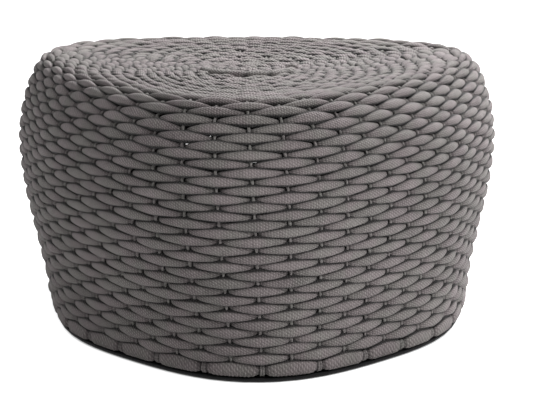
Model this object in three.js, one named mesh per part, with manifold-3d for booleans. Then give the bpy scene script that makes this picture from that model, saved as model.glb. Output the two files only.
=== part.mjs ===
import * as THREE from 'three';
import { mergeVertices } from 'three/addons/utils/BufferGeometryUtils.js';
import Module from 'manifold-3d';

// Woven-rope ottoman: an aluminium frame of rings, ribs and spokes in a shell of
// over-and-under rope rows. Millimetres, +Z up, one rounded corner of the plan towards -Y.

// Driving dimensions of the weave's middle surface
const bellyRadius = 335.4;
const bellyHeight = 239;
const hemRadius = 303;
const shoulderRadius = 303.8;
const shoulderHeight = 355.4;
const crownRise = 2;

// Plan of every level: a rounded triangle, as shares of that level's mean radius
const cornerShare = 0.0975;
const cornerGrowthShare = 0.038;
const roundingShare = 0.0195;
const planCorners = 3;

// Below the belly the plan turns a little and is set off to +X, the more the nearer to the floor
const footShift = 8.3;
const footTurn = THREE.MathUtils.degToRad(2.9);

// Rope and weave
const ropeRadius = 8;
const weaveLift = 4.5;
const stakeCount = 54;
const sideRows = 30;
const rimRows = 3;
const topRows = 27;
const rowCrowdingShare = 0.137;
const stakePhaseShare = 0.62;
const stakeLeanShare = -0.48;
const hemRopeRadius = 10;
const hemWrapDepth = 1;
const hemSides = 8;

// Stakes drop out of the top in even steps as the rows get shorter
const firstDropShare = 0.81;
const dropStepShare = 0.12;
const stakesPerDrop = 8;
const fewestStakes = 10;
const centreTopShare = 0.06;

// Bands of the side weave's inner skin, below the belly and above it
const lowerBandShares = [0, 0.25, 0.5, 0.75, 1];
const upperBandShares = [0.35, 0.65, 0.87, 1];
const skinBands = lowerBandShares.length + upperBandShares.length;

// The side weave ends, and the top weave starts, on the bend over the top ring
const splitBendShare = 0.75;
const rimSkinShares = [0, splitBendShare / 2, splitBendShare];

// Frame
const tubeRadius = 8;
const bellyTubeRadius = 6;
const tubeSides = 8;
const ringStations = stakeCount;
const ribCount = 9;
const baseRingThickness = 4;
const baseRingWidth = 36;
const baseRingLip = 6;
const baseRingChamfer = 1;
const hubRadius = 45;
const hubChamfer = 2;
const hubSegments = 36;

// Glides pushed into the base ring
const glideRadius = 13;
const glideHeight = 2.5;
const glideChamfer = 0.7;
const stemRadius = 3;
const stemClearance = 0.3;
const stemReachShare = 0.9;
const glideInset = 12;
const glideSegments = 16;
const glideAngle = THREE.MathUtils.degToRad(20);
const cutOverrun = 2;

// Gaps between neighbours
const seatGap = 0.3;
const weaveGap = 0.5;

// Heights that follow from the stack on the floor
const baseRingBottom = glideHeight + seatGap;
const baseRingTop = baseRingBottom + baseRingThickness;
const hemHeight = baseRingTop + seatGap + hemRopeRadius;
const sideBottom = hemHeight + hemRopeRadius + seatGap;
const firstRowHeight = sideBottom + ropeRadius;

// Depths below the weave's middle surface
const weaveDepth = ropeRadius + weaveLift;
const frameDepth = weaveDepth + weaveGap + tubeRadius;
const bellyRingDepth = frameDepth + tubeRadius + seatGap + bellyTubeRadius;
const splitGapShare = seatGap / (frameDepth - weaveDepth);

const fullTurn = 2 * Math.PI;
const nudgeShare = 1e-4;
const solveSteps = 12;
const up = new THREE.Vector3(0, 0, 1);

// How far a level reaches at an angle, as a share of its mean radius: corners grow a little with height
function planReachShare(angle, height) {
  const corner = cornerShare + (cornerGrowthShare * (height - bellyHeight)) / bellyHeight;
  return 1 + corner * Math.cos(planCorners * angle) + roundingShare * Math.cos(2 * planCorners * angle);
}

function direction(angle) {
  return new THREE.Vector3(Math.sin(angle), -Math.cos(angle), 0);
}

// The side's curve is a cubic that is upright at the belly and passes the hem and the shoulder
function sideCurveShares() {
  const hemRise = (hemHeight - bellyHeight) / bellyHeight;
  const shoulderRise = (shoulderHeight - bellyHeight) / bellyHeight;
  const hemDrop = (1 - hemRadius / bellyRadius) / hemRise ** 2;
  const shoulderDrop = (1 - shoulderRadius / bellyRadius) / shoulderRise ** 2;
  const cube = (shoulderDrop - hemDrop) / (shoulderRise - hemRise);
  return { cube, square: hemDrop - cube * hemRise };
}

const curveShares = sideCurveShares();

function meanRadius(height) {
  const rise = (height - bellyHeight) / bellyHeight;
  return bellyRadius * (1 - curveShares.square * rise ** 2 - curveShares.cube * rise ** 3);
}

function footShare(height) {
  return (Math.max(0, bellyHeight - height) / (bellyHeight - hemHeight)) ** 2;
}

function middlePoint(angle, height) {
  const foot = footShare(height);
  const reach = meanRadius(height) * planReachShare(angle - footTurn * foot, height);
  const point = direction(angle).multiplyScalar(reach).setZ(height);
  point.x += footShift * foot;
  return point;
}

function sideNormal(angle, height) {
  const along = middlePoint(angle + nudgeShare, height).sub(middlePoint(angle - nudgeShare, height));
  const nudge = nudgeShare * bellyHeight;
  const upward = middlePoint(angle, height + nudge).sub(middlePoint(angle, height - nudge));
  return along.cross(upward).normalize();
}

function sidePoint(angle, height, offset) {
  return middlePoint(angle, height).addScaledVector(sideNormal(angle, height), offset);
}

// The height on the middle surface from which a depth below it lands on a given level
function footHeight(angle, level, depth) {
  let height = level;
  for (let step = 0; step < solveSteps; step += 1) {
    height += level - sidePoint(angle, height, -depth).z;
  }
  return height;
}

function levelPoint(angle, level, depth) {
  return sidePoint(angle, footHeight(angle, level, depth), -depth);
}

function planNormal(angle, height) {
  return sideNormal(angle, height).setZ(0).normalize();
}

// The rim bends over the top ring, so both share one level
const topRingLevel = sidePoint(fullTurn / 4, shoulderHeight, -frameDepth).z;
const topLevel = topRingLevel + frameDepth;
const ribTop = topRingLevel - tubeRadius - seatGap;

function ringCentre(angle) {
  return levelPoint(angle, topRingLevel, frameDepth);
}

function shoulderAt(angle) {
  return footHeight(angle, topRingLevel, frameDepth);
}

// From the shoulder at 0 to the flat top at 1
function rimPoint(angle, bendShare, offset) {
  const start = sideNormal(angle, shoulderAt(angle));
  const heading = start.lerp(up, bendShare).normalize();
  return ringCentre(angle).addScaledVector(heading, frameDepth + offset);
}

// The top's rows turn from a rounded triangle at the rim, share 1, to a circle at the middle, share 0
const rimMeanRadius = Math.hypot(ringCentre(fullTurn / 4).x, ringCentre(fullTurn / 4).y);

function topPoint(angle, share, offset) {
  const rim = ringCentre(angle).setZ(0);
  const round = direction(angle).multiplyScalar(rimMeanRadius);
  const crown = crownRise * (1 - share ** 2);
  return round.lerp(rim, share).multiplyScalar(share).setZ(topLevel + crown + offset);
}

// Rows lie a little closer together towards the shoulder
function sideRowHeight(row, angle) {
  const share = (row - 1) / (sideRows - 1);
  const climb = share * (1 + rowCrowdingShare * (1 - share));
  return firstRowHeight + (shoulderAt(angle) - firstRowHeight) * climb;
}

// Stakes lean a little as they climb, and don't follow the foot to its side
function stakeAngle(stake, count, climbShare) {
  const lean = stakePhaseShare + stakeLeanShare * (climbShare - 0.5);
  const angle = (fullTurn / count) * stake + (fullTurn / stakeCount) * lean;
  const foot = footShare(hemHeight + (shoulderHeight - hemHeight) * climbShare);
  return angle - ((footShift * foot) / hemRadius) * Math.cos(angle);
}

function isOver(stake, row) {
  return Math.abs(stake + row) % 2 === 1;
}

// Rope is proud of the middle surface where it passes over a stake and sunk where it passes under
function crossingOffset(stake, row) {
  return ropeRadius + (isOver(stake, row) ? weaveLift : -weaveLift);
}

function ring(count, place) {
  return Array.from({ length: count }, (_, index) => place(index));
}

// A closed body from rings of points: each ring is sewn to the next, whatever their counts
function sewnBody(rings, closesOnItself, firstRow = 0) {
  const positions = [];
  const starts = [];
  for (const points of rings) {
    starts.push(positions.length / 3);
    points.forEach((point) => positions.push(point.x, point.y, point.z));
  }
  const triangles = [];
  const joints = closesOnItself ? rings.length : rings.length - 1;
  for (let index = 0; index < joints; index += 1) {
    const next = (index + 1) % rings.length;
    sewRings(triangles, rings, starts, index, next, firstRow + index);
  }
  return outwardBody(positions, triangles);
}

function sewRings(triangles, rings, starts, lower, upper, row) {
  if (rings[lower].length === rings[upper].length) {
    sewEqualRings(triangles, starts[lower], starts[upper], rings[lower].length, row);
  } else {
    sewUnequalRings(triangles, rings, starts, lower, upper);
  }
}

// The diagonals join the sunk crossings, so that the proud ones stand up
function sewEqualRings(triangles, lowStart, highStart, count, row) {
  for (let index = 0; index < count; index += 1) {
    const next = (index + 1) % count;
    const [a, b, c, d] = [lowStart + index, lowStart + next, highStart + next, highStart + index];
    if (isOver(index, row)) {
      triangles.push(a, b, d, b, c, d);
    } else {
      triangles.push(a, b, c, a, c, d);
    }
  }
}

function sewUnequalRings(triangles, rings, starts, lower, upper) {
  const lowerCount = rings[lower].length;
  const upperCount = rings[upper].length;
  let low = 0;
  let high = 0;
  const lowAt = (index) => starts[lower] + (index % lowerCount);
  const highAt = (index) => starts[upper] + (index % upperCount);
  const gap = (a, b) => rings[lower][a % lowerCount].distanceTo(rings[upper][b % upperCount]);
  while (low < lowerCount || high < upperCount) {
    const lowIsNearer = low < lowerCount && gap(low + 1, high) < gap(low, high + 1);
    const stepsLow = high === upperCount || lowIsNearer;
    if (stepsLow && lowerCount > 1) {
      triangles.push(lowAt(low), lowAt(low + 1), highAt(high));
    }
    if (!stepsLow && upperCount > 1) {
      triangles.push(lowAt(low), highAt(high + 1), highAt(high));
    }
    low += stepsLow ? 1 : 0;
    high += stepsLow ? 0 : 1;
  }
}

function outwardBody(positions, triangles) {
  const geometry = new THREE.BufferGeometry();
  geometry.setAttribute('position', new THREE.Float32BufferAttribute(positions, 3));
  geometry.setIndex(signedVolume(positions, triangles) < 0 ? triangles.reverse() : triangles);
  geometry.computeVertexNormals();
  return geometry;
}

function signedVolume(positions, triangles) {
  const corner = (index) => new THREE.Vector3().fromArray(positions, 3 * triangles[index]);
  let volume = 0;
  for (let index = 0; index < triangles.length; index += 3) {
    volume += corner(index).dot(corner(index + 1).cross(corner(index + 2)));
  }
  return volume;
}

// A tube's section at a centre, along two directions that may be stretched for a mitre
function tubeSection(station, radius, sides) {
  return ring(sides, (side) => {
    const turn = (fullTurn * side) / sides;
    return station.centre
      .clone()
      .addScaledVector(station.out, radius * Math.cos(turn))
      .addScaledVector(station.across, radius * Math.sin(turn));
  });
}

function closedTube(stations, radiusAt, sides) {
  return sewnBody(stations.map((station, index) => tubeSection(station, radiusAt(index), sides)), true);
}

function straightCutTube(stations, radius, sides) {
  const sections = stations.map((station) => tubeSection(station, radius, sides));
  return sewnBody([[stations[0].centre], ...sections, [stations.at(-1).centre]], false);
}

const wasm = await Module();
wasm.setup();

function toSolid(geometry) {
  const bare = geometry.clone();
  bare.deleteAttribute('normal');
  bare.deleteAttribute('uv');
  const merged = mergeVertices(bare);
  return new wasm.Manifold(
    new wasm.Mesh({
      numProp: 3,
      vertProperties: new Float32Array(merged.attributes.position.array),
      triVerts: new Uint32Array(merged.index.array),
    }),
  );
}

function toGeometry(solid) {
  const mesh = solid.getMesh();
  const geometry = new THREE.BufferGeometry();
  geometry.setAttribute('position', new THREE.BufferAttribute(mesh.vertProperties, 3));
  geometry.setIndex(new THREE.BufferAttribute(mesh.triVerts, 1));
  geometry.computeVertexNormals();
  return geometry;
}

// Materials
function ropeCloth() {
  return new THREE.MeshStandardMaterial({ color: 0x7f7a76, roughness: 0.9, metalness: 0 });
}

function coatedMetal() {
  return new THREE.MeshStandardMaterial({ color: 0x1b1b1c, roughness: 0.55, metalness: 0.2 });
}

function blackNylon() {
  return new THREE.MeshStandardMaterial({ color: 0x141414, roughness: 0.6, metalness: 0 });
}

const ottoman = new THREE.Group();

function addPart(name, geometry, material) {
  const mesh = new THREE.Mesh(geometry, material);
  mesh.name = name;
  ottoman.add(mesh);
  return mesh;
}

// Base ring: a flat bar under the hem rope, drilled for the glides
function baseRingSection(angle) {
  const inward = planNormal(angle, hemHeight).negate();
  const outer = middlePoint(angle, hemHeight).addScaledVector(inward, -baseRingLip);
  const corner = (depth, level) => outer.clone().addScaledVector(inward, depth).setZ(level);
  return [
    corner(baseRingChamfer, baseRingBottom),
    corner(0, baseRingBottom + baseRingChamfer),
    corner(0, baseRingTop - baseRingChamfer),
    corner(baseRingChamfer, baseRingTop),
    corner(baseRingWidth - baseRingChamfer, baseRingTop),
    corner(baseRingWidth, baseRingTop - baseRingChamfer),
    corner(baseRingWidth, baseRingBottom + baseRingChamfer),
    corner(baseRingWidth - baseRingChamfer, baseRingBottom),
  ];
}

function glideAngles() {
  const corners = ring(planCorners, (corner) => (fullTurn * corner) / planCorners);
  return corners.flatMap((corner) => [corner - glideAngle, corner + glideAngle]);
}

function glideCentre(angle) {
  const inward = planNormal(angle, hemHeight).negate();
  return middlePoint(angle, hemHeight).addScaledVector(inward, glideInset).setZ(0);
}

function stemHole(angle) {
  const depth = baseRingThickness + 2 * cutOverrun;
  const radius = stemRadius + stemClearance;
  const hole = new THREE.CylinderGeometry(radius, radius, depth, glideSegments);
  const place = glideCentre(angle);
  hole.rotateX(fullTurn / 4);
  hole.translate(place.x, place.y, baseRingBottom + baseRingThickness / 2);
  return toSolid(hole);
}

function baseRing() {
  const sections = ring(ringStations, (station) =>
    baseRingSection((fullTurn * station) / ringStations));
  const band = sewnBody(sections, true);
  const drilled = glideAngles().reduce((solid, angle) => solid.subtract(stemHole(angle)), toSolid(band));
  addPart('base_ring', toGeometry(drilled), coatedMetal());
}

// Glides: a disc on the floor with a stem up through the base ring
function glides() {
  const stemTop = baseRingBottom + baseRingThickness * stemReachShare;
  const outline = [
    [0, 0],
    [glideRadius - glideChamfer, 0],
    [glideRadius, glideChamfer],
    [glideRadius, glideHeight],
    [stemRadius, glideHeight],
    [stemRadius, stemTop],
    [0, stemTop],
  ].map(([radius, level]) => new THREE.Vector2(radius, level));
  glideAngles().forEach((angle, index) => {
    const body = new THREE.LatheGeometry(outline, glideSegments);
    body.rotateX(fullTurn / 4);
    const glide = addPart(`glide_${index + 1}`, body, blackNylon());
    glide.position.copy(glideCentre(angle));
  });
}

// Round rings that follow the plan at one level
function levelRing(name, level, depth, radius) {
  const stations = ring(ringStations, (station) => {
    const angle = (fullTurn * station) / ringStations;
    const foot = footHeight(angle, level, depth);
    return { centre: sidePoint(angle, foot, -depth), out: planNormal(angle, foot), across: up };
  });
  addPart(name, closedTube(stations, () => radius, tubeSides), coatedMetal());
}

// Ribs: bent tubes from the base ring to the top ring, cut level at both ends
function ribHeights(angle) {
  const low = footHeight(angle, baseRingTop + seatGap, frameDepth);
  return [low, ...skinHeights(angle).filter((height) => height > low)];
}

function ribStation(angle, height, cutLevel) {
  const centre = sidePoint(angle, height, -frameDepth);
  const normal = sideNormal(angle, height);
  const flat = planNormal(angle, height);
  const out = cutLevel ? flat.clone().divideScalar(flat.dot(normal)) : normal;
  return { centre, out, across: new THREE.Vector3().crossVectors(flat, up) };
}

function ribs() {
  ring(ribCount, (index) => {
    const angle = (fullTurn * index) / ribCount;
    const heights = ribHeights(angle);
    const stations = heights.map((height, place) =>
      ribStation(angle, height, place === 0 || place === heights.length - 1));
    addPart(`frame_rib_${index + 1}`, straightCutTube(stations, tubeRadius, tubeSides), coatedMetal());
  });
}

function ringNormal(angle) {
  return planNormal(angle, shoulderAt(angle));
}

function ringInside(angle) {
  return ringCentre(angle).addScaledVector(ringNormal(angle), -tubeRadius);
}

// How far the ring's straight facets draw in, to either side, across a spoke that meets it at a slant
function facetDraw(angle, slant, skew) {
  const halfRun = (tubeRadius + (tubeRadius + seatGap) * skew) / slant;
  const slopes = [-1, 1].map((side) => {
    const run = ringInside(angle + (side * fullTurn) / ringStations).sub(ringInside(angle));
    const inward = -run.dot(ringNormal(angle));
    return inward / Math.sqrt(run.lengthSq() - inward ** 2);
  });
  return halfRun * Math.max(...slopes, 0);
}

// Spokes: straight tubes from the hub to the top ring, mitred to the ring's run
function spokes() {
  ring(ribCount, (index) => {
    const angle = (fullTurn * index) / ribCount;
    const heading = ringCentre(angle).setZ(0).normalize();
    const square = new THREE.Vector3().crossVectors(heading, up);
    const normal = ringNormal(angle);
    const slant = normal.dot(heading);
    const ringTangent = new THREE.Vector3().crossVectors(normal, up).divideScalar(slant);
    const standOff = tubeRadius + seatGap + facetDraw(angle, slant, Math.abs(normal.dot(square)));
    const reach = Math.hypot(ringCentre(angle).x, ringCentre(angle).y) - standOff / slant;
    const inner = heading.clone().multiplyScalar(hubRadius + seatGap).setZ(topRingLevel);
    const outer = heading.clone().multiplyScalar(reach).setZ(topRingLevel);
    const stations = [
      { centre: inner, out: square, across: up },
      { centre: outer, out: ringTangent, across: up },
    ];
    addPart(`top_spoke_${index + 1}`, straightCutTube(stations, tubeRadius, tubeSides), coatedMetal());
  });
}

function hub() {
  const outline = [
    [0, -tubeRadius],
    [hubRadius - hubChamfer, -tubeRadius],
    [hubRadius, hubChamfer - tubeRadius],
    [hubRadius, tubeRadius - hubChamfer],
    [hubRadius - hubChamfer, tubeRadius],
    [0, tubeRadius],
  ].map(([radius, level]) => new THREE.Vector2(radius, level));
  const body = new THREE.LatheGeometry(outline, hubSegments);
  body.rotateX(fullTurn / 4);
  addPart('top_hub', body, coatedMetal()).position.z = topRingLevel;
}

// Hem rope: the lowest row, whipped round so that its thickness swells and necks
function hemRope() {
  const wraps = 2 * stakeCount;
  const stations = ring(wraps, (station) => {
    const angle = stakeAngle(station / 2, stakeCount, 0);
    return { centre: middlePoint(angle, hemHeight), out: planNormal(angle, hemHeight), across: up };
  });
  const radiusAt = (index) => hemRopeRadius - (index % 2) * hemWrapDepth;
  addPart('hem_rope', closedTube(stations, radiusAt, hemSides), ropeCloth());
}

// Inner skin of the side weave, at heights that the ribs share, one of them the belly's
function skinHeights(angle) {
  const high = footHeight(angle, ribTop, frameDepth);
  return [
    ...lowerBandShares.map((share) => sideBottom + (bellyHeight - sideBottom) * share),
    ...upperBandShares.map((share) => bellyHeight + (high - bellyHeight) * share),
  ];
}

function skinRing(place) {
  return ring(ringStations, (station) => place((fullTurn * station) / ringStations));
}

function sideRow(row) {
  const climb = row / sideRows;
  return ring(stakeCount, (stake) => {
    const angle = stakeAngle(stake, stakeCount, climb);
    return sidePoint(angle, sideRowHeight(row, angle), crossingOffset(stake, row));
  });
}

function rimRow(row, bendShare) {
  return ring(stakeCount, (stake) =>
    rimPoint(stakeAngle(stake, stakeCount, 1), bendShare, crossingOffset(stake, row)));
}

function edgeRing(bendShare) {
  return ring(stakeCount, (stake) => rimPoint(stakeAngle(stake, stakeCount, 1), bendShare, ropeRadius));
}

function sideWeave() {
  const skin = ring(skinBands, (band) =>
    skinRing((angle) => sidePoint(angle, skinHeights(angle)[band], -weaveDepth))).reverse();
  const rimSkin = rimSkinShares.map((share) =>
    skinRing((angle) => rimPoint(angle, share, -weaveDepth))).reverse();
  const bottomEdge = ring(stakeCount, (stake) =>
    levelPoint(stakeAngle(stake, stakeCount, 0), sideBottom, -ropeRadius));
  const rows = ring(sideRows, (row) => sideRow(row + 1));
  const rim = ring(rimRows - 1, (index) =>
    rimRow(sideRows + 1 + index, (index + 1) / rimRows));
  const rings = [...skin, bottomEdge, ...rows, ...rim, edgeRing(splitBendShare), ...rimSkin];
  addPart('side_weave', sewnBody(rings, true, -skin.length), ropeCloth());
}

function stakesAt(share) {
  const drops = Math.max(0, Math.ceil((firstDropShare - share) / dropStepShare));
  return Math.max(fewestStakes, stakeCount - stakesPerDrop * drops);
}

function topRow(index) {
  const share = 1 - index / topRows;
  const count = stakesAt(share);
  const row = sideRows + rimRows + index;
  return ring(count, (stake) =>
    topPoint(stakeAngle(stake, count, 1), share, crossingOffset(stake, row)));
}

function topWeave() {
  const startBend = splitBendShare + splitGapShare;
  const rows = ring(topRows, topRow).filter((_, index) => 1 - index / topRows > centreTopShare);
  const underside = [
    [topPoint(0, 0, -weaveDepth - crownRise)],
    skinRing((angle) => topPoint(angle, 1, -weaveDepth)),
    skinRing((angle) => rimPoint(angle, startBend, -weaveDepth)),
    edgeRing(startBend),
    edgeRing((startBend + 1) / 2),
  ];
  const rings = [...underside, ...rows, [topPoint(0, 0, ropeRadius)]];
  addPart('top_weave', sewnBody(rings, false, sideRows + rimRows - underside.length), ropeCloth());
}

baseRing();
glides();
levelRing('belly_ring', bellyHeight, bellyRingDepth, bellyTubeRadius);
levelRing('top_ring', topRingLevel, frameDepth, tubeRadius);
ribs();
spokes();
hub();
hemRope();
sideWeave();
topWeave();

// The origin is on the floor under the middle of the footprint
const reach = new THREE.Box3().setFromObject(ottoman, true);
ottoman.position.set(-(reach.min.x + reach.max.x) / 2, -(reach.min.y + reach.max.y) / 2, 0);

export default ottoman;
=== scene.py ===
import math

import bpy
import numpy as np
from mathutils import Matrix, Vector

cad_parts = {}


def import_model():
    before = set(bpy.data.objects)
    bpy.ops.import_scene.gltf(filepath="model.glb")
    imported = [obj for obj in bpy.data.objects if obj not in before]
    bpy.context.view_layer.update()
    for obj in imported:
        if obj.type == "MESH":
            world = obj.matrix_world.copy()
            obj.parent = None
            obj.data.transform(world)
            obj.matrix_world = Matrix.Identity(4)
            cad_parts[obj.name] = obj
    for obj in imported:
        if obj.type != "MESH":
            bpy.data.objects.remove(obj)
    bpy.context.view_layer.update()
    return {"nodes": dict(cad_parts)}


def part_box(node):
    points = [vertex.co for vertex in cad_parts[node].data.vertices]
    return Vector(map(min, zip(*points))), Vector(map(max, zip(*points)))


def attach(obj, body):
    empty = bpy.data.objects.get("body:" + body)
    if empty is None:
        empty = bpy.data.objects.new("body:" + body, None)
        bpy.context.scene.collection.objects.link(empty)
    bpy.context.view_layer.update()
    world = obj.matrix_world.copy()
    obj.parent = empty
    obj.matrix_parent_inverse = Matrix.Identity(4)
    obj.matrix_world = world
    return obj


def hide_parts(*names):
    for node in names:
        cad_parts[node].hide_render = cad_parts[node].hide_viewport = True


# Woven-rope ottoman: rope rows that pass over and under twisted warp cords, on a dark frame.
# Metres, +Z up. Row 0 is the hem, then come the rows of the side, the rim and the top.
# The plan, the side's profile and its stakes repeat those of the solids. The dish and the middle
# of the top, and where its stakes drop out, are this scene's own.

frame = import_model()

# Weave's middle surface
BELLY_RADIUS = 0.3354
BELLY_HEIGHT = 0.239
HEM_RADIUS = 0.303
SHOULDER_RADIUS = 0.3038
SHOULDER_HEIGHT = 0.3554
DISH = 0.007
TOP_CENTRE_SET = (-0.004, -0.040)
CORNER_SHARE = 0.0975
CORNER_GROWTH_SHARE = 0.038
ROUNDING_SHARE = 0.0195
PLAN_CORNERS = 3
FOOT_SHIFT = 0.0083
FOOT_TURN = math.radians(2.9)
HEM_HEIGHT = 0.0171
FIRST_ROW_HEIGHT = 0.0354
FRAME_DEPTH = 0.021
NUDGE_SHARE = 1e-4
SOLVE_STEPS = 12

# Rows and stakes
STAKES = 54
SIDE_ROWS = 30
RIM_ROWS = 3
TOP_ROWS = 27
TOP_START = SIDE_ROWS + RIM_ROWS
TOP_END = TOP_START + TOP_ROWS
ROW_CROWDING_SHARE = 0.137
STAKE_PHASE_SHARE = 0.62
STAKE_LEAN_SHARE = -0.48
FIRST_DROP_SHARE = 0.56
DROP_STEP_SHARE = 0.09
STAKES_PER_DROP = 8
FEWEST_STAKES = 10
ZONE_SLIP_SHARE = 0.381
CENTRE_TOP_SHARE = 0.03

# Rope section: half its height along the surface as shares of the row pitch, half its thickness,
# and how far its centre stands off the middle surface
OVER_HEIGHT_SHARE = 0.785
UNDER_HEIGHT_SHARE = 0.29
TIP_HEIGHT_SHARE = 0.41
FULLNESS_POWER = 0.79
OVER_THICKNESS = 0.0070
UNDER_THICKNESS = 0.0052
OVER_OFFSET = 0.0056
UNDER_OFFSET = 0.0014
TOP_SINK = 0.0020
DIVE_POWER = 1.9
NOTCH_DEPTH = 0.0043
NOTCH_WIDTH = 0.13
BOW = -0.0021
TIP_EASE = 0.985
SQUARENESS = 0.92
TOP_RELIEF_SHARE = 1.05
STEPS_PER_STAKE = 20
ROPE_SIDES = 20

# Unevenness of the rows and of their tone
SEED = 11
STAKE_DRIFT = 0.03
OFFSET_DRIFT = 0.0005
HEIGHT_DRIFT = 0.028
CLIMB_DRIFT = 0.0003
TOP_UNEVENNESS = 1.6
TONE_SPREAD = 0.3
TONE_DRIFT = 0.5

# Hem rope
HEM_HALF_HEIGHT = 0.0086
HEM_LIFT = 0.0026
HEM_LIFT_POWER = 0.7
HEM_HALF_THICKNESS = 0.0092
HEM_NECK_SHARE = 0.42
HEM_NECK_WIDTH = 0.20
HEM_SWING = 0.0020
HEM_SQUARENESS = 0.66
HEM_STEPS = 32
HEM_SIDES = 20
HEM_RIB_PITCH = 0.0052
HEM_RIB_SHARE = 0.035
HEM_RIB_LEVEL = 0.25
# Painted shade on the hem rope: where it dives, along its upper side, and between the ribs of the
# whipping
HEM_PAINTED_DIVE_SHADE = 0.95
HEM_PAINTED_DIVE_WIDTH = 0.17
HEM_PAINTED_UPPER_SHADE = 0.95
HEM_PAINTED_UPPER_START = 0.62
HEM_PAINTED_UPPER_WIDTH = 0.16
PAINTED_RIB_SHADE = 0.3

# Painted shade between the ropes, put into the rope's colour: where a rope dives, in the valley
# round that, and on the rope's flanks. On a flank it starts and is full at shares of the way to
# the rope's edge, given row by row.
PAINTED_DIVE_SHADE = 0.9
PAINTED_DIVE_WIDTH = 0.125
PAINTED_VALLEY_SHADE = 0.22
PAINTED_VALLEY_GROWTH = 0.50
PAINTED_VALLEY_WIDTH = 0.42
PAINTED_FLANK_SHADE = 0.97
PAINTED_SHADE_ROWS = (1, 29, 31, 34, 38, 60)
PAINTED_SHADE_START = (0.57, 0.57, 0.82, 0.80, 0.52, 0.52)
PAINTED_SHADE_FULL = (0.73, 0.73, 1.0, 1.0, 0.78, 0.78)

# Warp cords: two plies twisted together, and the loops that end them round the hem rope
WARP_RADIUS = 0.0019
WARP_OVER_ROPE = 0.0064
WARP_BEHIND_ROPE = -0.0034
WARP_TWIST_PITCH = 0.011
WARP_ROW_STEP = 0.2
WARP_SIDES = 8
WARP_LOBE_SHARE = 0.22
WARP_ZONE_REACH = 0.5
WARP_FOOT_REACH = 0.25
HEM_LOOP_RADIUS = 0.0016
HEM_LOOP_STEPS = 16
HEM_LOOP_FRONT = (-105, 60)
HEM_LOOP_BACK = (255, 130)

# Middle of the top: one thick whipped turn, necked all round
CENTRE_TURN_RADIUS = 0.063
CENTRE_TURN_HALF = 0.0086
CENTRE_TURN_LEVEL = 0.0016
CENTRE_TURN_RISE = 0.0066
CENTRE_TURN_RISE_POWER = 0.7
CENTRE_TURN_FLATNESS = 0.9
CENTRE_TURN_SQUARENESS = 0.85
CENTRE_TURN_STATIONS = 300
CENTRE_TURN_SIDES = 16
CENTRE_TURN_RIBS = 75
CENTRE_TURN_RIB_SLANT = 2
CENTRE_TURN_RIB_SHARE = 0.06
CENTRE_NECKS = 13
CENTRE_NECK_POWER = 14
CENTRE_NECK_SHARE = 0.2
# Painted shade of the thick turn: at its necks and on its flanks
CENTRE_PAINTED_NECK_SHADE = 0.3
CENTRE_PAINTED_FLANK_START = 0.86
CENTRE_PAINTED_FLANK_WIDTH = 0.1
CENTRE_PAINTED_FLANK_SHADE = 0.2
CENTRE_PAINTED_FLANK_NECK_SHADE = 0.75
CENTRE_TONE = 0.9
CENTRE_TONE_DRIFT = 0.4
CENTRE_TONE_KNOTS = 20

# Lashing: the rope's end, wound round the thick turn at its right
LASHING_ANGLE = 1.6
LASHING_SPREAD = 0.26
LASHING_TURNS = 2.0
LASHING_START = 0.6
LASHING_SINK = 0.0002
LASHING_HALF = 0.0044
LASHING_FLATNESS = 0.8
LASHING_TAPER = 0.98
LASHING_TAPER_POWER = 8
LASHING_STEPS = 64
LASHING_SIDES = 12
LASHING_TONE = 0.4

# Braid of the covers, in columns across the rope
BRAID_COLUMN = 0.0034
BRAID_COLUMN_SLIP = 0.42
BRAID_SLANT = 0.6
BRAID_ROW_SLIP = 0.618
RIDGE_DEPTH = 0.75
DOT_DEPTH = 0.42
STITCH_POWER = 1.3

# Yarn: noise scales, and what each thing adds to the shade between a cover's dark and light
FIBRE_SCALE = 900.0
HEATHER_SCALE = 180.0
PATCH_SCALE = 9.0
PATCH_DETAIL = 3.0
DYE_SCALE = 26.0
BASE_SHADE = 0.07
# The stitches' share is painted light on each stitch and painted shade between them
PAINTED_STITCH_LIGHT_AND_SHADE = 0.62
HEATHER_SHADE = 0.34
PATCH_SHADE = 0.24
TONE_SHADE = 0.07
DARK_STOP = 0.15
LIGHT_STOP = 0.85
DYE_STOPS = (0.42, 0.58)
COOL_TINT = (0.935, 1.0, 0.95)
# Near black of the painted shade between the ropes, and how far it goes
PAINTED_SHADE_COLOUR = (0.007, 0.0065, 0.0065)
PAINTED_SHADE_WEIGHT = 0.97
FIBRE_RELIEF = 0.35
COVER_BUMP_STRENGTH = 0.8
COVER_FINISH = {
    "Roughness": 0.85,
    "Specular IOR Level": 0.25,
    "Sheen Weight": 0.12,
    "Sheen Roughness": 0.5,
}

# Covers: darkest and lightest colour, stitches round the rope, depth of the stitches
ROPE_COVER = ((0.087, 0.075, 0.075), (0.33, 0.286, 0.288), 13, 0.0017)
WARP_COVER = ((0.09, 0.081, 0.079), (0.30, 0.272, 0.27), 6, 0.0005)

# Frame and glides: colour, lighter colour, roughness, scale of the grain
FRAME_COAT = ((0.006, 0.006, 0.0065), (0.012, 0.012, 0.013), 0.62, 1400.0)
GLIDE_NYLON = ((0.010, 0.010, 0.010), (0.018, 0.018, 0.018), 0.6, 900.0)
GRAIN_DETAIL = 3.0
CLOUD_SCALE = 14.0
CLOUD_STOPS = (0.3, 0.75)
CLOUD_ROUGHNESS = 0.15
ROUGHNESS_DROP = 0.07
COAT_SPECULAR = 0.12
COAT_BUMP_STRENGTH = 0.25
COAT_BUMP_DISTANCE = 0.0004

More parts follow.
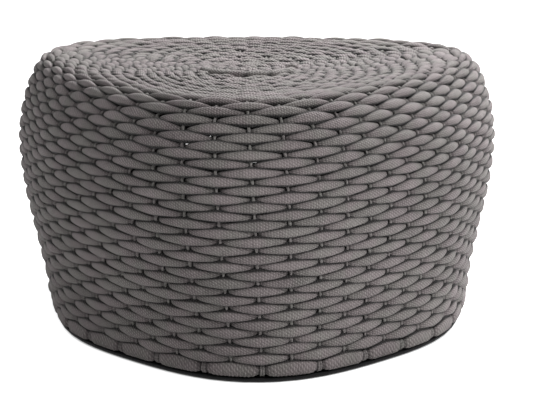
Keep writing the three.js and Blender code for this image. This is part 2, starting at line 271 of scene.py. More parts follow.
# Stage: a white floor that keeps the shadow, a plain world and two soft lights
WORLD_LIGHT = 0.382
FLOOR_GLOW = 0.87
FLOOR_SIDES = 90
FLOOR_FINISH = {
    "Base Color": (0.86, 0.86, 0.86, 1),
    "Roughness": 0.9,
    "Specular IOR Level": 0.0,
    "Emission Color": (1, 1, 1, 1),
}
# Rings as scales of the hem's outline, with their glow
FLOOR_RINGS = (
    (0.5, 0.0),
    (0.99, 0.0),
    (1.0, 0.0),
    (1.018, FLOOR_GLOW),
    (1.6, FLOOR_GLOW),
    (30.0, FLOOR_GLOW),
)
# Name, place, aim, size, power
SOFTBOXES = (
    ("overhead", (0.9, 1.45, 2.05), (0, 0, 0.3), 1.0, 109),
    ("right_key", (2.1, -1.5, 2.2), (0, 0, 0.2), 0.8, 42),
)

# Camera fitted to the photograph: focal length in pixels of its width, standing off the axis
FOCAL_PIXELS = 1700.3
FRAME_WIDTH = 533
SENSOR_WIDTH = 36.0
STAND_OFF = 2.4379
AZIMUTH = 0.0619
LENS_HEIGHT = 0.7304
PITCH = 0.2283
YAW = 0.05355

FULL_TURN = 2 * math.pi
UP = np.array([0.0, 0.0, 1.0])

rng = np.random.default_rng(SEED)

hub_low, hub_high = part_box("top_hub")
AXIS = np.array([(hub_low.x + hub_high.x) / 2, (hub_low.y + hub_high.y) / 2, 0.0])
TOP_RING_LEVEL = (hub_low.z + hub_high.z) / 2
TOP_LEVEL = TOP_RING_LEVEL + FRAME_DEPTH


# Directions and shares
def unit(vectors):
    return vectors / np.linalg.norm(vectors, axis=-1, keepdims=True)


def direction(angle):
    return np.stack([np.sin(angle), -np.cos(angle), np.zeros_like(angle)], -1)


def at_height(points, height):
    points = points.copy()
    points[..., 2] = height
    return points


def turn_angles(sides):
    return FULL_TURN * np.arange(sides) / sides


def run_along(centres, closed=True):
    """Unit directions of a line of points."""
    if closed:
        return unit(np.roll(centres, -1, 0) - np.roll(centres, 1, 0))
    return unit(np.gradient(centres, axis=0))


def section_axes(run, normals):
    """Outward and sideways directions square to the run."""
    outward = unit(normals - run * np.sum(normals * run, -1, keepdims=True))
    return outward, np.cross(run, outward)


def dip(away, width):
    """1 at a crossing under a warp cord, fading away from it."""
    return np.exp(-(away / width) ** 2)


def ramp_up(values, start, width):
    return np.clip((values - start) / width, 0, 1)


def laid_over(*shades):
    """Shades on top of each other: each darkens what the others leave light."""
    light = 1
    for shade in shades:
        light = light * (1 - shade)
    return 1 - light


# Side of the weave's middle surface
def curve_shares():
    hem_rise = (HEM_HEIGHT - BELLY_HEIGHT) / BELLY_HEIGHT
    shoulder_rise = (SHOULDER_HEIGHT - BELLY_HEIGHT) / BELLY_HEIGHT
    hem_drop = (1 - HEM_RADIUS / BELLY_RADIUS) / hem_rise ** 2
    shoulder_drop = (1 - SHOULDER_RADIUS / BELLY_RADIUS) / shoulder_rise ** 2
    cube = (shoulder_drop - hem_drop) / (shoulder_rise - hem_rise)
    return cube, hem_drop - cube * hem_rise


CUBE, SQUARE = curve_shares()


def foot_share(height):
    return (np.maximum(0, BELLY_HEIGHT - height) / (BELLY_HEIGHT - HEM_HEIGHT)) ** 2


def middle_point(angle, height):
    rise = (height - BELLY_HEIGHT) / BELLY_HEIGHT
    foot = foot_share(height)
    turned = angle - FOOT_TURN * foot
    mean = BELLY_RADIUS * (1 - SQUARE * rise ** 2 - CUBE * rise ** 3)
    corner = CORNER_SHARE + CORNER_GROWTH_SHARE * rise
    reach = (1 + corner * np.cos(PLAN_CORNERS * turned)
             + ROUNDING_SHARE * np.cos(2 * PLAN_CORNERS * turned))
    points = at_height(direction(angle) * (mean * reach)[..., None], height)
    points[..., 0] += FOOT_SHIFT * foot
    return points


def side_normal(angle, height):
    along = middle_point(angle + NUDGE_SHARE, height) - middle_point(angle - NUDGE_SHARE, height)
    lift = NUDGE_SHARE * BELLY_HEIGHT
    upward = middle_point(angle, height + lift) - middle_point(angle, height - lift)
    return unit(np.cross(along, upward))


def side_point(angle, height, offset):
    return middle_point(angle, height) + side_normal(angle, height) * offset


def shoulder_at(angle):
    """Height on the side from which the frame's depth inwards leads to the top ring's level."""
    height = np.full_like(angle, TOP_RING_LEVEL)
    for _ in range(SOLVE_STEPS):
        height = height + TOP_RING_LEVEL - side_point(angle, height, -FRAME_DEPTH)[..., 2]
    return height


def ring_centre(angle):
    return side_point(angle, shoulder_at(angle), -FRAME_DEPTH)


RIM_MEAN_RADIUS = float(np.linalg.norm(ring_centre(np.array([FULL_TURN / 4]))[0, :2]))


# Each surface gives points of the middle surface and their outward normals
def side_surface(angle, row):
    share = (row - 1) / (SIDE_ROWS - 1)
    climb = share * (1 + ROW_CROWDING_SHARE * (1 - share))
    height = FIRST_ROW_HEIGHT + (shoulder_at(angle) - FIRST_ROW_HEIGHT) * climb
    return middle_point(angle, height), side_normal(angle, height)


def rim_surface(angle, row):
    bend = (row - SIDE_ROWS) / RIM_ROWS
    start = side_normal(angle, shoulder_at(angle))
    heading = unit(start * (1 - bend) + UP * bend)
    return ring_centre(angle) + heading * FRAME_DEPTH, heading


def top_share(row):
    """1 at the first row of the top, 0 at its middle."""
    return 1 - (row - TOP_START) / TOP_ROWS


def top_centre(share):
    """Middle of a turn of the top: the top is dished and its turns close in front of the axis."""
    dished = TOP_LEVEL - DISH * (1 - share ** 2)
    return np.array([*TOP_CENTRE_SET, 0.0]) * (1 - share) + UP * dished


def top_surface(angle, row):
    share = top_share(row)
    rim = at_height(ring_centre(angle), 0.0)
    circle = direction(angle) * RIM_MEAN_RADIUS
    points = (circle + (rim - circle) * share) * share + top_centre(share)
    return points, np.broadcast_to(UP, points.shape)


def weave_surface(angle, row):
    if row <= SIDE_ROWS:
        return side_surface(angle, row)
    if row < TOP_START:
        return rim_surface(angle, row)
    return top_surface(angle, row)


def stakes_in_row(row):
    drops = max(0, math.ceil((FIRST_DROP_SHARE - top_share(row)) / DROP_STEP_SHARE))
    return max(FEWEST_STAKES, STAKES - STAKES_PER_DROP * drops)


def zone_slip(count):
    """Stakes of a zone further in don't line up with those of the zone before."""
    drops = (STAKES - count) / STAKES_PER_DROP
    return drops * ZONE_SLIP_SHARE % 1


def stake_angle(stake, count, row):
    climb = min(row / SIDE_ROWS, 1)
    lean = STAKE_PHASE_SHARE + STAKE_LEAN_SHARE * (climb - 0.5)
    angle = FULL_TURN / count * (stake + zone_slip(count)) + FULL_TURN / STAKES * lean
    foot = foot_share(HEM_HEIGHT + (SHOULDER_HEIGHT - HEM_HEIGHT) * climb)
    return angle - FOOT_SHIFT * foot / HEM_RADIUS * np.cos(angle)


def drift(count, steps, size):
    """Smooth closed random run: one value per stake, eased in between."""
    knots = rng.normal(0, size, count)
    place = np.arange(count * steps) / steps
    low = np.floor(place).astype(int)
    ease = (1 - np.cos(math.pi * (place - low))) / 2
    return knots[low % count] * (1 - ease) + knots[(low + 1) % count] * ease


def over_wave(stake, row):
    """1 where the rope passes over a stake, -1 where it passes under."""
    return -np.cos(math.pi * (stake + row))


def from_dive(wave):
    """Distance from the nearest crossing under a warp cord: 0 there, 1 at the crossing over."""
    return 0.5 + np.arcsin(TIP_EASE * wave) / math.asin(TIP_EASE) / 2


# Tubes
def add_object(name, data):
    made = bpy.data.objects.new(name, data)
    bpy.context.scene.collection.objects.link(made)
    return made


class Cloth:
    """Collects closed and open tubes, with their braid coordinates, tones and painted shade, into
    one mesh.
    """

    def __init__(self):
        self.points = []
        self.faces = []
        self.uvs = []
        self.tones = []
        self.painted_shades = []
        self.count = 0

    def braid_columns(self, lengths, closed):
        """Run along the tube in columns of the braid: a whole number of them if it closes."""
        if not closed:
            return lengths / BRAID_COLUMN
        whole = round(lengths[-1] / BRAID_COLUMN)
        return lengths / lengths[-1] * whole + len(self.points) * BRAID_ROW_SLIP

    def add_tube(self, sections, lengths, tone, closed=True, painted_shade=None):
        """sections: stations x sides x 3. lengths: run at each station, and at a closed end."""
        stations, sides = sections.shape[:2]
        spans = stations if closed else stations - 1
        columns = self.braid_columns(lengths, closed)
        first = np.arange(spans)[:, None]
        side = np.arange(sides)[None, :]
        here = self.count + first * sides
        there = self.count + (first + 1) % stations * sides
        following = (side + 1) % sides
        quads = np.stack([here + side, there + side, there + following, here + following], -1)
        along = np.broadcast_to(columns[:spans, None], (spans, sides))
        ahead = np.broadcast_to(columns[1:spans + 1, None], (spans, sides))
        turn = np.broadcast_to(side / sides, (spans, sides))
        back = np.broadcast_to((side + 1) / sides, (spans, sides))
        corners = ((along, turn), (ahead, turn), (ahead, back), (along, back))
        uv = np.stack([np.stack(corner, -1) for corner in corners], -2)
        size = stations * sides
        self.points.append(sections.reshape(-1, 3))
        self.faces.append(quads.reshape(-1, 4))
        self.uvs.append(uv.reshape(-1, 2))
        self.tones.append(np.repeat(tone, sides) if np.ndim(tone) else np.full(size, tone))
        self.painted_shades.append(np.zeros(size) if painted_shade is None else painted_shade.ravel())
        self.count += size

    def make(self, name, material):
        points = np.concatenate(self.points) + AXIS
        faces = np.concatenate(self.faces)
        mesh = bpy.data.meshes.new(name)
        mesh.vertices.add(len(points))
        mesh.vertices.foreach_set("co", points.astype(np.float32).ravel())
        mesh.loops.add(faces.size)
        mesh.loops.foreach_set("vertex_index", faces.astype(np.int32).ravel())
        mesh.polygons.add(len(faces))
        mesh.polygons.foreach_set("loop_start", np.arange(0, faces.size, 4, dtype=np.int32))
        mesh.polygons.foreach_set("use_smooth", np.ones(len(faces), dtype=bool))
        layer = mesh.uv_layers.new(name="Braid")
        layer.data.foreach_set("uv", np.concatenate(self.uvs).astype(np.float32).ravel())
        # Tone, and the painted shade between the ropes, go to the mesh as point attributes
        for title, values in (("tone", self.tones), ("painted_shade", self.painted_shades)):
            attribute = mesh.attributes.new(title, "FLOAT", "POINT")
            attribute.data.foreach_set("value", np.concatenate(values).astype(np.float32))
        mesh.update(calc_edges=True)
        mesh.validate()
        mesh.materials.append(material)
        return add_object(name, mesh)


def tube_sections(centres, normals, half_height, half_thickness, sides,
                  closed=True, squareness=1.0):
    """Elliptic sections square to the run of the centres. The first vertex faces outward."""
    outward, across = section_axes(run_along(centres, closed), normals)
    turn = turn_angles(sides)
    parts = []
    for axis, wave, half in ((outward, np.cos(turn), half_thickness),
                             (across, np.sin(turn), half_height)):
        shape = np.sign(wave) * np.abs(wave) ** squareness
        spread = shape * np.broadcast_to(half, len(centres))[:, None]
        parts.append(axis[:, None] * spread[..., None])
    return centres[:, None] + parts[0] + parts[1]


def ribbed(sections, centres, rib, share):
    """Sections drawn in between ribs."""
    return centres[:, None] + (sections - centres[:, None]) * (1 + share * (rib - 1))[..., None]


def run_lengths(centres, closed=True):
    steps = np.linalg.norm(np.diff(centres, axis=0, append=centres[:1]), axis=1)
    lengths = np.concatenate([[0], np.cumsum(steps)])
    return lengths if closed else lengths[:-1]


# Rope rows
def row_pitch(angle, row):
    """Distance between neighbouring rows along the surface."""
    here = weave_surface(angle, row)[0]
    above = weave_surface(angle, min(row + 1, TOP_END))[0]
    below = weave_surface(angle, max(row - 1, 1))[0]
    gap_above = np.linalg.norm(above - here, axis=-1)
    gap_below = np.linalg.norm(here - below, axis=-1)
    return (gap_above + gap_below) / 2 if row > 1 else gap_above


def painted_crevice_shade(away, sides, row, angle):
    """Painted shade, 1 deep between the ropes: along their flanks and where they dive under a warp
    cord.
    """
    start = np.interp(row, PAINTED_SHADE_ROWS, PAINTED_SHADE_START)
    full = np.interp(row, PAINTED_SHADE_ROWS, PAINTED_SHADE_FULL)
    valley = PAINTED_VALLEY_SHADE
    if row > TOP_START + 1:
        valley = valley + PAINTED_VALLEY_GROWTH * np.sin(angle) ** 2
    dive = laid_over(PAINTED_DIVE_SHADE * dip(away, PAINTED_DIVE_WIDTH), valley * dip(away, PAINTED_VALLEY_WIDTH))
    flank = ramp_up(np.abs(np.sin(turn_angles(sides))), start, full - start) * PAINTED_FLANK_SHADE
    return laid_over(dive[:, None], flank[None, :])


def add_weft_row(cloth, row):
    count = stakes_in_row(row)
    stake = np.arange(count * STEPS_PER_STAKE) / STEPS_PER_STAKE
    wave = over_wave(stake + drift(count, STEPS_PER_STAKE, STAKE_DRIFT), row)
    away = from_dive(np.clip(wave, -1, 1))
    angle = stake_angle(stake, count, row)
    base, normal = weave_surface(angle, row)
    bulge = 1 - (1 - away) ** DIVE_POWER
    relief = TOP_RELIEF_SHARE if row > SIDE_ROWS + 1 else 1
    unevenness = TOP_UNEVENNESS if row > TOP_START else 1

    sunk = (OVER_OFFSET - UNDER_OFFSET) * (1 - bulge) + NOTCH_DEPTH * dip(away, NOTCH_WIDTH)
    offset = OVER_OFFSET - relief * sunk
    offset = offset + drift(count, STEPS_PER_STAKE, OFFSET_DRIFT * unevenness)
    offset = offset - TOP_SINK * np.clip((row - SIDE_ROWS) / RIM_ROWS, 0, 1)

    fullness = away ** FULLNESS_POWER
    share = UNDER_HEIGHT_SHARE + (OVER_HEIGHT_SHARE - UNDER_HEIGHT_SHARE) * fullness
    height = row_pitch(angle, row) * np.maximum(TIP_HEIGHT_SHARE, share)
    height = height * (1 + drift(count, STEPS_PER_STAKE, HEIGHT_DRIFT * unevenness))
    thickness = UNDER_THICKNESS + (OVER_THICKNESS - UNDER_THICKNESS) * bulge

    centres = base + normal * offset[:, None]
    climb = np.cross(run_along(centres), normal)
    bow = BOW * (bulge - 0.5) + drift(count, STEPS_PER_STAKE, CLIMB_DRIFT * unevenness)
    centres = centres + climb * bow[:, None]
    sections = tube_sections(centres, normal, height, thickness, ROPE_SIDES, squareness=SQUARENESS)
    tone = rng.normal(0, TONE_SPREAD) + drift(count, STEPS_PER_STAKE, TONE_DRIFT)
    # Painted shade where the rope dives under a warp cord and along its flanks
    painted_shade = painted_crevice_shade(away, ROPE_SIDES, row, angle)
    cloth.add_tube(sections, run_lengths(centres), tone, painted_shade=painted_shade)


def side_rope():
    """Rows of the side and those round the rim."""
    cloth = Cloth()
    for row in range(1, TOP_START):
        add_weft_row(cloth, row)
    return cloth


def top_rope():
    """Rows of the top, without the one whose place the thick turn takes."""
    cloth = Cloth()
    turn_row = round(TOP_ROWS * (1 - CENTRE_TURN_RADIUS / RIM_MEAN_RADIUS))
    for index in range(TOP_ROWS):
        if 1 - index / TOP_ROWS > CENTRE_TOP_SHARE and index != turn_row:
            add_weft_row(cloth, TOP_START + index)
    return cloth


# Warp cords
def warp_sections(path, normals):
    """A twisted pair: two lobes that turn about the cord's run."""
    lengths = run_lengths(path, closed=False)
    outward, across = section_axes(run_along(path, closed=False), normals)
    turn = turn_angles(WARP_SIDES)[None, :]
    twist = FULL_TURN / 2 * lengths[:, None] / WARP_TWIST_PITCH
    radius = WARP_RADIUS * (1 + WARP_LOBE_SHARE * np.cos(2 * (turn - twist)))
    sections = (path[:, None] + outward[:, None] * (radius * np.cos(turn))[..., None]
                + across[:, None] * (radius * np.sin(turn))[..., None])
    return sections, lengths


def between_rows(values, place):
    low = np.clip(np.floor(place).astype(int), 0, len(values) - 2)
    ease = (place - low)[:, None, None]
    return values[low] * (1 - ease) + values[low + 1] * ease


def warp_paths(count, start, end):
    """Points and normals of every warp cord of a zone, at fine steps through its rows."""
    first = math.floor(start)
    rows = range(first, math.ceil(end) + 1)
    stakes = np.arange(count, dtype=float)
    surfaces = [weave_surface(stake_angle(stakes, count, row), row) for row in rows]
    steps = np.arange(start, end, WARP_ROW_STEP)
    points = between_rows(np.array([surface[0] for surface in surfaces]), steps - first)
    normals = unit(between_rows(np.array([surface[1] for surface in surfaces]), steps - first))
    wave = over_wave(stakes[None, :], steps[:, None])
    middle = (WARP_OVER_ROPE + WARP_BEHIND_ROPE) / 2
    offset = middle - wave * (WARP_OVER_ROPE - WARP_BEHIND_ROPE) / 2
    return points + normals * offset[..., None], normals


def hem_loop(stake, slip):
    """The end of a warp cord: in front of the hem rope at even stakes, behind it at odd ones."""
    angle = stake_angle(np.array([float(stake)]), STAKES, 0)
    height = np.array([HEM_HEIGHT])
    centre = middle_point(angle, height)[0]
    out = unit(at_height(side_normal(angle, height), 0.0))[0]
    front = stake % 2 == 0
    sweep = HEM_LOOP_FRONT if front else HEM_LOOP_BACK
    turns = np.radians(np.linspace(*sweep, HEM_LOOP_STEPS))
    reach = HEM_HALF_THICKNESS * (1 - HEM_NECK_SHARE) + HEM_LOOP_RADIUS
    heading = out[None, :] * np.cos(turns)[:, None] + UP[None, :] * np.sin(turns)[:, None]
    return centre + heading * reach + np.cross(out, UP) * slip, heading if front else -heading


def warp_zones():
    """Runs of rows that share a stake count: the count, the first row and the last."""
    zones = []
    for row in range(1, TOP_END - 1):
        count = stakes_in_row(row)
        if zones and zones[-1][0] == count:
            zones[-1][2] = row
        else:
            zones.append([count, row, row])
    return zones


def warp_cords():
    cloth = Cloth()
    for count, first, last in warp_zones():
        start = first - (WARP_FOOT_REACH if first == 1 else WARP_ZONE_REACH)
        points, normals = warp_paths(count, start, last + WARP_ZONE_REACH)
        for stake in range(count):
            sections, lengths = warp_sections(points[:, stake], normals[:, stake])
            cloth.add_tube(sections, lengths, rng.normal(0, TONE_SPREAD), closed=False)
    for stake in range(STAKES):
        for slip in (-HEM_LOOP_RADIUS, HEM_LOOP_RADIUS):
            path, facing = hem_loop(stake, slip)
            half = np.full(len(path), HEM_LOOP_RADIUS)
            sections = tube_sections(path, facing, half, half, WARP_SIDES, closed=False)
            lengths = run_lengths(path, closed=False)
            cloth.add_tube(sections, lengths, rng.normal(0, TONE_SPREAD), closed=False)
    return cloth


# Hem and middle of the top
def hem_rope():
    """The lowest rope, whipped round with a fine cord whose turns show as slanting ribs."""
    cloth = Cloth()
    stake = np.arange(STAKES * HEM_STEPS) / HEM_STEPS
    angle = stake_angle(stake, STAKES, 0)
    level = np.full_like(angle, HEM_HEIGHT)
    base = middle_point(angle, level)
    normal = unit(at_height(side_normal(angle, level), 0.0))
    away = from_dive(over_wave(stake, 0))
    neck = dip(away, HEM_NECK_WIDTH)
    lift = HEM_LIFT * away ** HEM_LIFT_POWER
    centres = base + normal * (HEM_SWING * (1 - neck))[:, None] + UP * lift[:, None]
    height = HEM_HALF_HEIGHT * (1 - HEM_NECK_SHARE * neck) + lift
    thickness = HEM_HALF_THICKNESS * (1 - HEM_NECK_SHARE * neck)
    sections = tube_sections(
        centres, normal, height, thickness, HEM_SIDES, squareness=HEM_SQUARENESS)
    lengths = run_lengths(centres)
    ribs = round(lengths[-1] / HEM_RIB_PITCH)
    turn = turn_angles(HEM_SIDES)[None, :]
    lower = np.clip(HEM_RIB_LEVEL + np.sin(turn), 0, 1)
    rib = 1 - lower * (1 - np.cos(FULL_TURN * ribs * lengths[:-1, None] / lengths[-1] + turn))
    sections = ribbed(sections, centres, rib, HEM_RIB_SHARE)
    # Painted shade where the hem rope dives under a warp cord, between its ribs and along its
    # upper side under the row above
    dive = HEM_PAINTED_DIVE_SHADE * dip(away, HEM_PAINTED_DIVE_WIDTH)
    upper = ramp_up(-np.sin(turn), HEM_PAINTED_UPPER_START, HEM_PAINTED_UPPER_WIDTH) * HEM_PAINTED_UPPER_SHADE
    painted_shade = laid_over(dive[:, None], PAINTED_RIB_SHADE * (1 - rib) / 2, upper)
    cloth.add_tube(sections, lengths, drift(STAKES, HEM_STEPS, TONE_DRIFT), painted_shade=painted_shade)
    return cloth


def centre_turn():
    """A thick turn round the middle of the top, higher in front, with slanting ribs and necks."""
    cloth = Cloth()
    place = np.arange(CENTRE_TURN_STATIONS) / CENTRE_TURN_STATIONS
    angle = FULL_TURN * place
    middle = top_centre(CENTRE_TURN_RADIUS / RIM_MEAN_RADIUS) + UP * CENTRE_TURN_LEVEL
    rise = CENTRE_TURN_RISE * (0.5 + 0.5 * np.cos(angle)) ** CENTRE_TURN_RISE_POWER
    centres = middle + direction(angle) * CENTRE_TURN_RADIUS + UP * rise[:, None]
    neck = np.abs(np.cos(CENTRE_NECKS * angle / 2)) ** CENTRE_NECK_POWER
    half = CENTRE_TURN_HALF * (1 - CENTRE_NECK_SHARE * neck)
    normal = np.broadcast_to(UP, centres.shape)
    sections = tube_sections(centres, normal, half, half * CENTRE_TURN_FLATNESS,
                             CENTRE_TURN_SIDES, squareness=CENTRE_TURN_SQUARENESS)
    turn = turn_angles(CENTRE_TURN_SIDES)[None, :]
    slant = CENTRE_TURN_RIB_SLANT * turn
    rib = np.cos(FULL_TURN * CENTRE_TURN_RIBS * place[:, None] + slant)
    sections = ribbed(sections, centres, rib, CENTRE_TURN_RIB_SHARE)
    # Painted shade at the necks, between the ribs and on the flanks
    neck = neck[:, None]
    flank = ramp_up(np.abs(np.sin(turn)), CENTRE_PAINTED_FLANK_START, CENTRE_PAINTED_FLANK_WIDTH)
    painted_shade = laid_over(
        CENTRE_PAINTED_NECK_SHADE * neck,
        PAINTED_RIB_SHADE * (1 - rib) / 2,
        flank * (CENTRE_PAINTED_FLANK_SHADE + CENTRE_PAINTED_FLANK_NECK_SHADE * neck),
    )
    steps = CENTRE_TURN_STATIONS // CENTRE_TONE_KNOTS
    tone = CENTRE_TONE + drift(CENTRE_TONE_KNOTS, steps, CENTRE_TONE_DRIFT)
    cloth.add_tube(sections, run_lengths(centres), tone, painted_shade=painted_shade)
    add_lashing(cloth, middle)
    return cloth


def add_lashing(cloth, middle):
    """The rope's end, wound round the thick turn and tapered at both ends."""
    share = np.linspace(0, 1, LASHING_STEPS)
    angle = LASHING_ANGLE + (share - 0.5) * LASHING_SPREAD
    coil = FULL_TURN * LASHING_TURNS * share - LASHING_START
    reach = CENTRE_TURN_HALF - LASHING_SINK
    heading = direction(angle) * np.cos(coil)[:, None] + UP * np.sin(coil)[:, None]
    path = middle + direction(angle) * CENTRE_TURN_RADIUS + heading * reach
    path = path + UP * CENTRE_TURN_RISE / 2
    half = LASHING_HALF * (1 - (2 * share - 1) ** LASHING_TAPER_POWER * LASHING_TAPER)
    sections = tube_sections(
        path, heading, half, half * LASHING_FLATNESS, LASHING_SIDES, closed=False)
    cloth.add_tube(sections, run_lengths(path, closed=False), LASHING_TONE, closed=False)


# Materials
def new_material(name):
    material = bpy.data.materials.new(name)
    material.use_nodes = True
    tree = material.node_tree
    return material, Nodes(tree), tree.nodes["Principled BSDF"]


def set_inputs(node, values):
    for name, value in values.items():
        node.inputs[name].default_value = value


class Nodes:
    """Short calls for a node tree."""

    def __init__(self, tree):
        self.tree = tree

    def add(self, kind, **settings):
        node = self.tree.nodes.new(kind)
        for key, value in settings.items():
            setattr(node, key, value)
        return node

    def link(self, source, target):
        self.tree.links.new(source, target)

    def math(self, operation, first, second=0.0, third=None):
        node = self.add("ShaderNodeMath", operation=operation)
        for socket, value in zip(node.inputs, (first, second, third)):
            if isinstance(value, (int, float)):
                socket.default_value = value
            elif value is not None:
                self.link(value, socket)
        return node.outputs[0]

    def add_scaled(self, shade, value, weight):
        return self.math("ADD", shade, self.math("MULTIPLY", value, weight))

    def attribute(self, name):
        return self.add("ShaderNodeAttribute", attribute_name=name).outputs["Fac"]

    def object_place(self):
        return self.add("ShaderNodeTexCoord").outputs["Object"]

    def noise(self, vector, scale, detail=2.0):
        node = self.add("ShaderNodeTexNoise")
        set_inputs(node, {"Scale": scale, "Detail": detail})
        self.link(vector, node.inputs["Vector"])
        return node.outputs["Fac"]

    def mix(self, factor, first, second, blend="MIX"):
        node = self.add("ShaderNodeMix", data_type="RGBA", blend_type=blend)
        sockets = (node.inputs[0], node.inputs[6], node.inputs[7])
        for socket, value in zip(sockets, (factor, first, second)):
            if isinstance(value, tuple):
                socket.default_value = (*value, 1.0)
            elif isinstance(value, float):
                socket.default_value = value
            else:
                self.link(value, socket)
        return node.outputs[2]

    def ramp(self, factor, places, colours):
        """A ramp between two colours."""
        node = self.add("ShaderNodeValToRGB")
        for element, place, colour in zip(node.color_ramp.elements, places, colours):
            element.position = place
            element.color = (*colour, 1.0)
        self.link(factor, node.inputs["Fac"])
        return node.outputs["Color"]

    def bump(self, height, strength, distance, shader):
        node = self.add("ShaderNodeBump")
        set_inputs(node, {"Strength": strength, "Distance": distance})
        self.link(height, node.inputs["Height"])
        self.link(node.outputs["Normal"], shader.inputs["Normal"])

    def any_ray(self, first, *others):
        """1 for rays of these kinds, 0 for the others."""
        path = self.add("ShaderNodeLightPath")
        seen = path.outputs[first]
        for kind in others:
            seen = self.math("MAXIMUM", seen, path.outputs[kind])
        return seen


def braid_stitch(nodes, dots_round):
    """Staggered stitches in columns across the rope: 1 on a stitch, towards 0 between."""
    uv = nodes.add("ShaderNodeUVMap", uv_map="Braid")
    split = nodes.add("ShaderNodeSeparateXYZ")
    nodes.link(uv.outputs["UV"], split.inputs["Vector"])
    along, turn = split.outputs["X"], split.outputs["Y"]
    ridge = nodes.math("COSINE", nodes.math("MULTIPLY", along, FULL_TURN))
    ridge = nodes.math("MULTIPLY_ADD", ridge, 0.5, 0.5)
    column = nodes.math("FLOOR", nodes.math("ADD", along, 0.5))
    slip = nodes.math("MULTIPLY", column, FULL_TURN * (BRAID_COLUMN_SLIP + BRAID_SLANT))
    slip = nodes.math("MULTIPLY_ADD", along, -FULL_TURN * BRAID_SLANT, slip)
    dot = nodes.math("COSINE", nodes.math("MULTIPLY_ADD", turn, FULL_TURN * dots_round, slip))
    dot = nodes.math("MULTIPLY_ADD", dot, DOT_DEPTH, 1 - DOT_DEPTH)
    ridge = nodes.math("MULTIPLY_ADD", ridge, RIDGE_DEPTH, 1 - RIDGE_DEPTH)
    return nodes.math("POWER", nodes.math("MULTIPLY", ridge, dot), STITCH_POWER)


def rope_material(name, dark, light, dots_round, bump_distance):
    """Braided cover with a heathered yarn, cooler in patches, with painted shade deep between the
    ropes and painted light and shade on its stitches.
    """
    material, nodes, shader = new_material(name)
    place = nodes.object_place()
    stitch = braid_stitch(nodes, dots_round)
    # Painted light on the stitches and painted shade between them
    shade = nodes.math("MULTIPLY_ADD", stitch, PAINTED_STITCH_LIGHT_AND_SHADE, BASE_SHADE)
    shade = nodes.add_scaled(shade, nodes.noise(place, HEATHER_SCALE), HEATHER_SHADE)
    shade = nodes.add_scaled(shade, nodes.noise(place, PATCH_SCALE, PATCH_DETAIL), PATCH_SHADE)
    shade = nodes.add_scaled(shade, nodes.attribute("tone"), TONE_SHADE)
    warm = nodes.ramp(shade, (DARK_STOP, LIGHT_STOP), (dark, light))
    cool = nodes.mix(1.0, warm, COOL_TINT, "MULTIPLY")
    patches = nodes.ramp(nodes.noise(place, DYE_SCALE), DYE_STOPS, ((0, 0, 0), (1, 1, 1)))
    dyed = nodes.mix(patches, warm, cool)
    # Painted shade: towards near black deep between the ropes, where they dive and on their flanks
    deep = nodes.math("MULTIPLY", nodes.attribute("painted_shade"), PAINTED_SHADE_WEIGHT)
    nodes.link(nodes.mix(deep, dyed, PAINTED_SHADE_COLOUR), shader.inputs["Base Color"])
    relief = nodes.add_scaled(stitch, nodes.noise(place, FIBRE_SCALE), FIBRE_RELIEF)
    nodes.bump(relief, COVER_BUMP_STRENGTH, bump_distance, shader)
    set_inputs(shader, COVER_FINISH)
    return material


def coat_material(name, colour, lighter, roughness, grain):
    """Powder coat or moulded nylon: a fine pebble with a little unevenness."""
    material, nodes, shader = new_material(name)
    place = nodes.object_place()
    cloud = nodes.noise(place, CLOUD_SCALE, GRAIN_DETAIL)
    tint = nodes.ramp(cloud, CLOUD_STOPS, (colour, lighter))
    nodes.link(tint, shader.inputs["Base Color"])
    rough = nodes.math("MULTIPLY_ADD", cloud, CLOUD_ROUGHNESS, roughness - ROUGHNESS_DROP)
    nodes.link(rough, shader.inputs["Roughness"])
    set_inputs(shader, {"Specular IOR Level": COAT_SPECULAR})
    pebble = nodes.noise(place, grain, GRAIN_DETAIL)
    nodes.bump(pebble, COAT_BUMP_STRENGTH, COAT_BUMP_DISTANCE, shader)
    return material


def dress_frame():
    coat = coat_material("frame_coat_black", *FRAME_COAT)
    nylon = coat_material("glide_nylon", *GLIDE_NYLON)
    for name, node in frame["nodes"].items():
        finish = nylon if name.startswith("glide") else coat
        node.data.materials.clear()
        node.data.materials.append(finish)


# Pieces
def place_piece(piece, slot, *nodes):
    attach(piece, "root")
    if nodes:
        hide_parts(*nodes)


rope_cover = rope_material("rope_cover", *ROPE_COVER)
warp_cover = rope_material("warp_cover", *WARP_COVER)

dress_frame()
place_piece(side_rope().make("side_rope_rows", rope_cover), "rope", "side_weave")
place_piece(top_rope().make("top_rope_rows", rope_cover), "rope", "top_weave")
place_piece(centre_turn().make("centre_turn_lashed", rope_cover), "rope")
place_piece(hem_rope().make("hem_rope_whipped", rope_cover), "rope", "hem_rope")
place_piece(warp_cords().make("warp_cords", warp_cover), "rope")


# Stage
def floor_material():
    material, nodes, shader = new_material("floor_white")
    set_inputs(shader, FLOOR_FINISH)
    seen = nodes.any_ray("Is Camera Ray", "Is Glossy Ray")
    glow = nodes.math("MULTIPLY", seen, nodes.attribute("glow"))
    nodes.link(glow, shader.inputs["Emission Strength"])
    return material


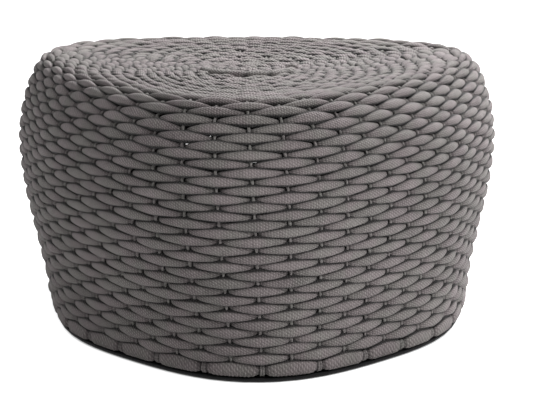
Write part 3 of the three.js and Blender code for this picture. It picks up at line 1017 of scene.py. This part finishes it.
def floor():
    """A wide disc in rings that follow the hem: it doesn't glow under the ottoman."""
    angle = turn_angles(FLOOR_SIDES)
    outline = at_height(middle_point(angle, np.full_like(angle, HEM_HEIGHT)), 0.0)
    points = [tuple(point) for scale, _ in FLOOR_RINGS for point in outline * scale + AXIS]
    faces = [tuple(range(FLOOR_SIDES))]
    for ring in range(len(FLOOR_RINGS) - 1):
        inner = ring * FLOOR_SIDES
        outer = inner + FLOOR_SIDES
        for side in range(FLOOR_SIDES):
            following = (side + 1) % FLOOR_SIDES
            faces.append((inner + side, inner + following, outer + following, outer + side))
    mesh = bpy.data.meshes.new("floor")
    mesh.from_pydata(points, [], faces)
    glow = mesh.attributes.new("glow", "FLOAT", "POINT")
    glows = np.repeat([value for _, value in FLOOR_RINGS], FLOOR_SIDES)
    glow.data.foreach_set("value", glows.astype(np.float32))
    mesh.materials.append(floor_material())
    plane = add_object("floor", mesh)


def world():
    """White where it is seen, dimmer where it lights the part."""
    made = bpy.data.worlds.new("studio")
    bpy.context.scene.world = made
    made.use_nodes = True
    nodes = Nodes(made.node_tree)
    background = made.node_tree.nodes["Background"]
    seen = nodes.any_ray("Is Camera Ray", "Is Glossy Ray", "Is Transmission Ray")
    background.inputs["Color"].default_value = (1, 1, 1, 1)
    strength = nodes.math("MULTIPLY_ADD", seen, 1 - WORLD_LIGHT, WORLD_LIGHT)
    nodes.link(strength, background.inputs["Strength"])


def softbox(name, place, target, size, power):
    light = bpy.data.lights.new(name, "AREA")
    light.shape = "DISK"
    light.size = size
    light.energy = power
    lamp = add_object(name, light)
    lamp.location = place
    aim = Vector(target) - Vector(place)
    lamp.rotation_euler = aim.to_track_quat("-Z", "Y").to_euler()


def camera():
    data = bpy.data.cameras.new("photo_view")
    data.sensor_fit = "HORIZONTAL"
    data.sensor_width = SENSOR_WIDTH
    data.lens = FOCAL_PIXELS / FRAME_WIDTH * data.sensor_width
    eye = add_object("photo_view", data)
    eye.location = (
        AXIS[0] + STAND_OFF * math.sin(AZIMUTH),
        AXIS[1] - STAND_OFF * math.cos(AZIMUTH),
        LENS_HEIGHT,
    )
    eye.rotation_euler = (math.pi / 2 - PITCH, 0.0, YAW)
    bpy.context.scene.camera = eye


floor()
world()
camera()
for settings in SOFTBOXES:
    softbox(*settings)
bpy.context.scene.view_settings.view_transform = "Standard"
